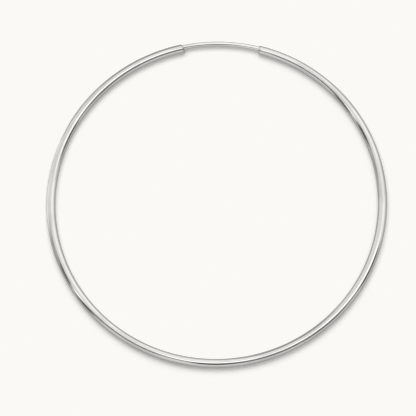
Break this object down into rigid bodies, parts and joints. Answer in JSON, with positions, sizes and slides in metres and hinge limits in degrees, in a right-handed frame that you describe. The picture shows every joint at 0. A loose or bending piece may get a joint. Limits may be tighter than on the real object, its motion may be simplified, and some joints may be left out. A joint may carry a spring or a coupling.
{
  "type": "hoop earring",
  "caption": "Large plain endless hoop earring: a slim polished hollow tube bent into a ring and closed at the top by a thinner ear wire that slides into its open end.",
  "frame": {"origin": "centre of the ring, on the plane of the underside that the hoop lies on", "axes": "+Z along the ring's axis, up from the surface it lies on; +Y through the middle of the ear wire; +X towards the tube end that is closed down on the wire, -X towards the open mouth"},
  "size_m": [0.055, 0.0548, 0.0015],
  "materials": {
    "tube_polish": "bright mirror polish on white metal",
    "wire_polish": "drawn wire, polished a little duller than the tube"
  },
  "bodies": {
    "root": {"hoop_tube": "tube_polish", "ear_wire": "wire_polish"}
  },
  "joints": []
}
